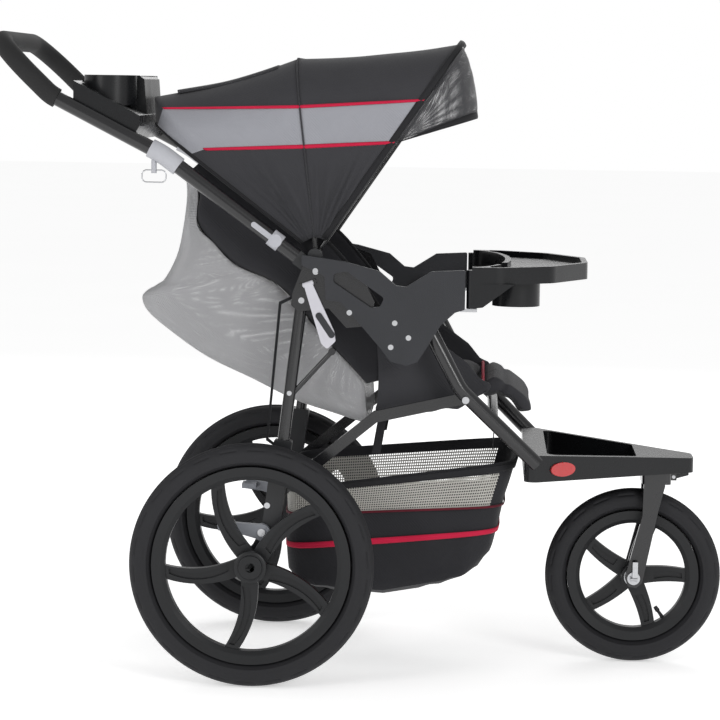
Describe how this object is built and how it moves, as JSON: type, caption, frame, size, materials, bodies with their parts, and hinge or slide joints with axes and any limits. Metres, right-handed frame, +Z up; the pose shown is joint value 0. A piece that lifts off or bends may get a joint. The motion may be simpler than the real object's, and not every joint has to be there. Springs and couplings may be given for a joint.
{
  "type": "jogging stroller",
  "caption": "Three-wheeled jogging stroller with folding frame, reclining seat, hinged canopy, child tray, parent console and storage basket.",
  "frame": {"origin": "on the ground, midway along the whole length and across the width", "axes": "+X forwards, +Y to the rider's left, +Z up"},
  "size_m": [1.2498, 0.63, 1.0775],
  "materials": {
    "black_tube": "gloss black powder coat",
    "black_plastic": "fine-grained black moulding",
    "grey_plastic": "grey moulding",
    "silver_plastic": "silver satin",
    "charcoal_fabric": "woven polyester",
    "grey_mesh": "open knit mesh",
    "basket_mesh": "open mesh",
    "webbing": "flat webbing",
    "foam": "closed-cell foam",
    "tyre_rubber": "matt rubber",
    "rim_plastic": "satin black",
    "steel": "zinc plated",
    "red_lens": "reflector"
  },
  "bodies": {
    "front_frame": {"side_panels": "black_plastic", "panel_screws": "steel", "hinge_plates": "steel", "frame_pins": "steel", "front_tubes": "black_tube", "seat_cross_tube": "black_tube", "footrest_platform": "black_plastic", "footrest_reflectors": "red_lens", "fork_housing": "black_plastic", "seat_sling": "charcoal_fabric", "seat_cushion": "charcoal_fabric", "leg_rest": "charcoal_fabric", "harness_buckle": "webbing", "storage_basket": "basket_mesh", "basket_straps": "webbing"},
    "handle": {"handle_side_tubes": "black_tube", "handle_knuckles": "black_plastic", "handlebar": "black_tube", "handle_grip": "foam", "tube_collars": "grey_plastic", "parent_console": "black_plastic", "canopy_rear_cover": "charcoal_fabric"},
    "rear_frame": {"leg_castings": "black_plastic", "leg_tubes": "black_tube", "rear_axle": "black_tube", "leg_fasteners": "steel", "leg_straps": "webbing", "latch_hooks": "black_tube"},
    "seat_rails": {"seat_rails": "black_tube"},
    "fold_struts": {"fold_struts": "black_tube"},
    "canopy_middle": {"canopy_mid_bow": "black_tube", "canopy_front_cover": "charcoal_fabric"},
    "canopy_front": {"canopy_front_bow": "black_tube"},
    "visor": {"canopy_visor": "charcoal_fabric"},
    "backrest": {"backrest_board": "charcoal_fabric", "backrest_pad": "charcoal_fabric", "back_mesh": "grey_mesh", "shoulder_straps": "webbing"},
    "rear_wheel_left": {"rear_tyre_left": "tyre_rubber", "rear_rim_left": "rim_plastic", "rear_bearings_and_cap_left": "steel"},
    "rear_wheel_right": {"rear_tyre_right": "tyre_rubber", "rear_rim_right": "rim_plastic", "rear_bearings_and_cap_right": "steel"},
    "fork": {"fork": "black_plastic", "fork_pins": "steel"},
    "swivel_lock": {"swivel_lock_lever": "black_plastic"},
    "quick_release": {"quick_release_lever": "steel"},
    "front_wheel": {"front_tyre": "tyre_rubber", "front_rim": "rim_plastic", "front_bearings": "steel"},
    "brake_left": {"brake_pedal_left": "grey_plastic"},
    "brake_right": {"brake_pedal_right": "grey_plastic"},
    "latch_left": {"latch_lever_left": "silver_plastic"},
    "latch_right": {"latch_lever_right": "silver_plastic"},
    "trigger_left": {"fold_trigger_left": "grey_plastic"},
    "trigger_right": {"fold_trigger_right": "grey_plastic"},
    "tether": {"tether_ring": "steel"},
    "tray": {"child_tray": "black_plastic"}
  },
  "joints": [
    {"name": "handle_fold", "type": "hinge", "parent": "front_frame", "child": "handle", "pos_m": [-0.07345, 0, 0.688], "axis": [0, 1, 0], "range_deg": [0, 85]},
    {"name": "leg_fold", "type": "hinge", "parent": "front_frame", "child": "rear_frame", "pos_m": [-0.09645, 0, 0.64], "axis": [0, 1, 0], "range_deg": [-40, 0], "deforming": ["storage_basket"]},
    {"name": "seat_rail_fold", "type": "hinge", "parent": "front_frame", "child": "seat_rails", "pos_m": [0.17755, 0, 0.479], "axis": [0, 1, 0], "range_deg": [0, 50.5]},
    {"name": "strut_fold", "type": "hinge", "parent": "seat_rails", "child": "fold_struts", "pos_m": [0.02855, 0, 0.445], "axis": [0, 1, 0], "range_deg": [-109.1, 0]},
    {"name": "canopy_fold", "type": "hinge", "parent": "handle", "child": "canopy_middle", "pos_m": [-0.07545, 0, 0.714], "axis": [0, 1, 0], "range_deg": [-49, 0], "deforming": ["canopy_rear_cover"]},
    {"name": "canopy_retract", "type": "hinge", "parent": "canopy_middle", "child": "canopy_front", "pos_m": [-0.07545, 0, 0.714], "axis": [0, 1, 0], "range_deg": [-36, 0], "deforming": ["canopy_front_cover"]},
    {"name": "visor_flip", "type": "hinge", "parent": "canopy_front", "child": "visor", "pos_m": [0.05046, 0, 0.89927], "axis": [0, -1, 0], "range_deg": [-45, 0]},
    {"name": "backrest_recline", "type": "hinge", "parent": "front_frame", "child": "backrest", "pos_m": [0.03355, 0, 0.47], "axis": [0, 1, 0], "range_deg": [0, 30]},
    {"name": "rear_wheel_left_spin", "type": "hinge", "parent": "rear_frame", "child": "rear_wheel_left", "pos_m": [-0.17145, 0.285, 0.2032], "axis": [0, 1, 0], "continuous": true},
    {"name": "rear_wheel_right_spin", "type": "hinge", "parent": "rear_frame", "child": "rear_wheel_right", "pos_m": [-0.17145, -0.285, 0.2032], "axis": [0, 1, 0], "continuous": true},
    {"name": "fork_swivel", "type": "hinge", "parent": "front_frame", "child": "fork", "pos_m": [0.51055, 0, 0.34], "axis": [0, 0, 1], "continuous": true},
    {"name": "front_wheel_spin", "type": "hinge", "parent": "fork", "child": "front_wheel", "pos_m": [0.47255, 0, 0.1524], "axis": [0, 1, 0], "continuous": true},
    {"name": "swivel_lock", "type": "hinge", "parent": "fork", "child": "swivel_lock", "pos_m": [0.53955, 0, 0.3265], "axis": [0, 1, 0], "range_deg": [0, 45]},
    {"name": "quick_release", "type": "hinge", "parent": "fork", "child": "quick_release", "pos_m": [0.47255, -0.0535, 0.1524], "axis": [1, 0, 0], "range_deg": [0, 110]},
    {"name": "brake_left", "type": "hinge", "parent": "rear_frame", "child": "brake_left", "pos_m": [-0.15745, 0.25, 0.253], "axis": [0, 1, 0], "range_deg": [0, 20]},
    {"name": "brake_right", "type": "hinge", "parent": "rear_frame", "child": "brake_right", "pos_m": [-0.15745, -0.25, 0.253], "axis": [0, 1, 0], "range_deg": [0, 20]},
    {"name": "latch_left", "type": "hinge", "parent": "front_frame", "child": "latch_left", "pos_m": [-0.08545, 0.254, 0.668], "axis": [0.939, 0, 0.344], "range_deg": [0, 45]},
    {"name": "latch_right", "type": "hinge", "parent": "front_frame", "child": "latch_right", "pos_m": [-0.08545, -0.254, 0.668], "axis": [-0.939, 0, -0.344], "range_deg": [0, 45]},
    {"name": "trigger_left", "type": "slide", "parent": "handle", "child": "trigger_left", "axis": [-0.8056, 0, 0.5925], "range_m": [0, 0.015]},
    {"name": "trigger_right", "type": "slide", "parent": "handle", "child": "trigger_right", "axis": [-0.8056, 0, 0.5925], "range_m": [0, 0.015]},
    {"name": "tether_swing", "type": "hinge", "parent": "handle", "child": "tether", "pos_m": [-0.34404, -0.232, 0.85051], "axis": [1, 0, 0], "range_deg": [-50, 50]},
    {"name": "tray_swing", "type": "hinge", "parent": "front_frame", "child": "tray", "pos_m": [0.18455, -0.247, 0.65], "axis": [0, 0, 1], "range_deg": [-90, 0]}
  ],
  "couplings": [
    {"joint": "leg_fold", "follows": "handle_fold", "ratio": -0.47059},
    {"joint": "seat_rail_fold", "follows": "handle_fold", "ratio": 0.59412},
    {"joint": "strut_fold", "follows": "handle_fold", "ratio": -1.2835},
    {"joint": "canopy_fold", "follows": "handle_fold", "ratio": -0.57647}
  ]
}
